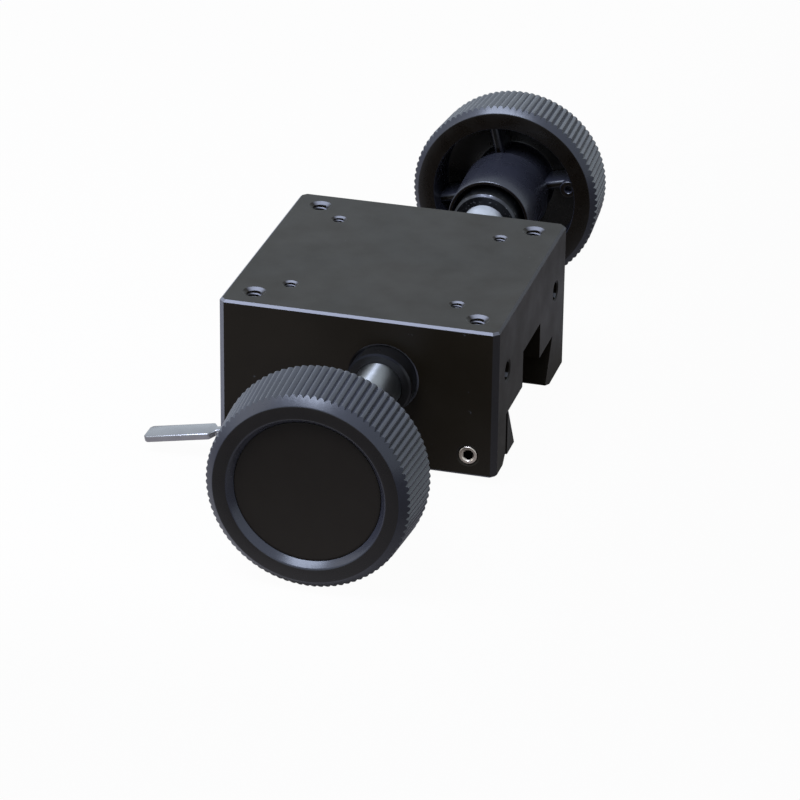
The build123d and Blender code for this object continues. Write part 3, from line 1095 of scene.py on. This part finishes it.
# %% Assign the finishes
finishes = {
    "carriage_block": black_anodised,
    "gib_bar": gib_anodised,
    "front_bush": bush_black,
    "rear_bush": bush_black,
    "front_bush_liner": sintered_bronze,
    "rear_bush_liner": sintered_bronze,
    "thrust_washers": washer_steel,
    "pinion_shaft": ground_steel,
    "front_knob": knob_plastic,
    "rear_knob": knob_plastic,
    "front_knob_disc": knob_disc_plastic,
    "rear_knob_disc": knob_disc_plastic,
    "front_knob_collar": collar_black,
    "rear_knob_collar": collar_black,
    "front_knob_grub_screw": black_oxide_screw,
    "rear_knob_grub_screw": black_oxide_screw,
    "bush_lock_screws": black_oxide_screw,
    "gib_set_screws": set_screw_steel,
    "clamp_screw": clamp_screw_steel,
    "clamp_lever": lever_stainless,
    "clamp_pad": pad_brass,
}


def put_on(piece, material):
    """Give a piece one material, in its first slot."""
    if not piece.data.materials:
        piece.data.materials.append(material)
    for place in piece.material_slots:
        place.material = material


for name, material in finishes.items():
    put_on(nodes[name], material)
for piece, material in (
    (front_knob, knob_plastic),
    (rear_knob, knob_plastic),
    (front_disc, knob_disc_plastic),
    (rear_disc, knob_disc_plastic),
    (gib_screws, set_screw_steel),
    (large_threads, black_anodised),
    (small_threads, black_anodised),
    (lever, lever_stainless),
):
    put_on(piece, material)
print("machined pieces with a finish:", len(finishes))

# %% [markdown]
# ## Floor and background
# The carriage stands on a plain pale table. To the camera the table is almost wholly white,
# with a trace of its paper and of the soft shadow on it. In reflections only a small share
# of that white lies over the paper, so the metal doesn't mirror a glaring table. The paper
# is painted darker on the right and in front, a painted shade that keeps the faces that
# mirror those parts deep in tone.

# %% The floor
floor_gap = 0.02
floor_z = min(knob_low.z, cad_low.z) - floor_gap * mm
start_clean()
bpy.ops.mesh.primitive_plane_add(size=4, location=(0, 0, floor_z))
floor = name_piece("floor")
choose(floor, "FACE", lambda face: True)
bpy.ops.mesh.subdivide(number_cuts=2)
bpy.ops.object.mode_set(mode="OBJECT")

floor_paper, tree, shader = new_finish("floor_paper")
shader.inputs["Roughness"].default_value = 0.9
shader.inputs["Specular IOR Level"].default_value = 0.0
paper = drift(tree, noise(tree, 4, 2.0), (0.53, 0.485, 0.44), (0.56, 0.51, 0.465))
floor_place = split(tree, "Object")
# The floor is painted darker on the right and in front: painted shade for what the faces mirror.
for axis, pale_until, shade_from in (("X", 0.0, 0.06), ("Y", -0.09, -0.13)):
    side = between(tree, floor_place[axis], pale_until, shade_from)
    paper = mix_colours(tree, side, paper, (0.20, 0.185, 0.18))
tree.links.new(paper, shader.inputs["Base Color"])
print("floor height in mm:", round(floor_z / mm, 2))

# %% Make the floor white to the camera
def seen_directly(tree, reflected):
    """1 for camera rays, the given share for glossy and transmission rays, otherwise 0."""
    path = tree.nodes.new("ShaderNodeLightPath")
    total = path.outputs["Is Camera Ray"]
    for ray in ("Is Glossy Ray", "Is Transmission Ray"):
        part = maths(tree, "MULTIPLY", path.outputs[ray], reflected)
        total = maths(tree, "MAXIMUM", total, part)
    return total


camera_white = 0.97
mirrored_white = 0.09
white = tree.nodes.new("ShaderNodeEmission")
white.inputs["Color"].default_value = (1, 1, 1, 1)
white.inputs["Strength"].default_value = 1.0
blend = tree.nodes.new("ShaderNodeMixShader")
white_share = maths(tree, "MULTIPLY", seen_directly(tree, mirrored_white), camera_white)
tree.links.new(white_share, blend.inputs["Fac"])
tree.links.new(shader.outputs["BSDF"], blend.inputs[1])
tree.links.new(white.outputs["Emission"], blend.inputs[2])
tree.links.new(blend.outputs["Shader"], tree.nodes["Material Output"].inputs["Surface"])
put_on(floor, floor_paper)
print("floor finish:", floor_paper.name)

# %% [markdown]
# ## Three backgrounds in one
# The camera sees plain white. Polished faces see a strong cool white, which draws the
# knobs' slopes and the steel. Everything else gets only a faint light from all sides, so
# that the shadows stay dark. The kind of ray decides which of the three is used.

# %% The background
world = bpy.data.worlds.new("studio")
bpy.context.scene.world = world
world.use_nodes = True
tree = world.node_tree
tree.nodes.remove(tree.nodes["Background"])


def background(tree, colour, strength):
    """A background of one colour."""
    node = tree.nodes.new("ShaderNodeBackground")
    node.inputs["Color"].default_value = (*colour, 1)
    node.inputs["Strength"].default_value = strength
    return node.outputs["Background"]


faint = background(tree, (0.93, 0.95, 1.0), 0.18)
mirrored = background(tree, (0.80, 0.90, 1.0), 1.26)
plain = background(tree, (1, 1, 1), 1.0)
path = tree.nodes.new("ShaderNodeLightPath")
indirect = tree.nodes.new("ShaderNodeMixShader")
tree.links.new(seen_directly(tree, 1.0), indirect.inputs["Fac"])
tree.links.new(faint, indirect.inputs[1])
tree.links.new(mirrored, indirect.inputs[2])
seen = tree.nodes.new("ShaderNodeMixShader")
tree.links.new(path.outputs["Is Camera Ray"], seen.inputs["Fac"])
tree.links.new(indirect.outputs["Shader"], seen.inputs[1])
tree.links.new(plain, seen.inputs[2])
tree.links.new(seen.outputs["Shader"], tree.nodes["World Output"].inputs["Surface"])
print("backgrounds mixed in:", world.name)

# %% [markdown]
# ## Light
# A black object shows what its faces mirror. One large soft light hangs high above the
# carriage, a little to the left and in front. The chamfers, the upper ribs and the slopes
# of the knob catch it, while the flat faces miss it and stay dark, and that shows the form
# better than light from beside the camera. A weak one on the left keeps the side of the
# knob from going flat.

# %% Hang the lights
def soft_light(name, place, aim, width, depth, power, colour):
    """A rectangular soft light that faces its aim."""
    start_clean()
    bpy.ops.object.light_add(type="AREA", location=place)
    light = bpy.context.object
    light.name = name
    light.data.shape = "RECTANGLE"
    light.data.size = width
    light.data.size_y = depth
    light.data.energy = power
    light.data.color = colour
    light.rotation_mode = "QUATERNION"
    light.rotation_quaternion = (Vector(aim) - Vector(place)).to_track_quat("-Z", "Y")
    print(name, "power in watts:", power)


soft_light(
    "key", place=(-0.145, -0.236, 0.532), aim=(0, -0.02, -0.02),
    width=0.42, depth=0.26, power=5.8, colour=(0.68, 0.77, 1.0),
)
soft_light(
    "left_fill", place=(-0.55, -0.25, 0.30), aim=(0, 0, -0.02),
    width=0.30, depth=0.40, power=0.4, colour=(1.0, 0.98, 0.96),
)

# %% [markdown]
# ## The camera
# A long lens from well back keeps the edges of a small part nearly parallel, as product
# pictures do. The camera is placed by where it stands, what it aims at and how far it is
# rolled, because those are the three things that a person sets on a tripod.

# %% Set up the camera
camera_place = Vector((0.20676, -0.75141, 0.34167))
camera_aim = Vector((0.00287, -0.00637, -0.02937))
camera_roll = math.radians(0.706)
lens = 180.84

start_clean()
bpy.ops.object.camera_add(location=camera_place)
camera = bpy.context.object
camera.name = "camera"
camera.data.lens = lens
camera.data.sensor_width = 36
camera.data.clip_start = 0.02
camera.data.clip_end = 20
camera.rotation_mode = "QUATERNION"
look = (camera_aim - camera_place).to_track_quat("-Z", "Y")
roll = Matrix.Rotation(camera_roll, 4, "Z").to_quaternion()
camera.rotation_quaternion = look @ roll
bpy.context.scene.camera = camera
bpy.context.scene.view_settings.view_transform = "Standard"
print("camera distance in mm:", round((camera_aim - camera_place).length / mm, 1))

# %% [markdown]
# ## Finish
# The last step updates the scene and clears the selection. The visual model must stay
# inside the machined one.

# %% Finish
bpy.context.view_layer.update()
start_clean()
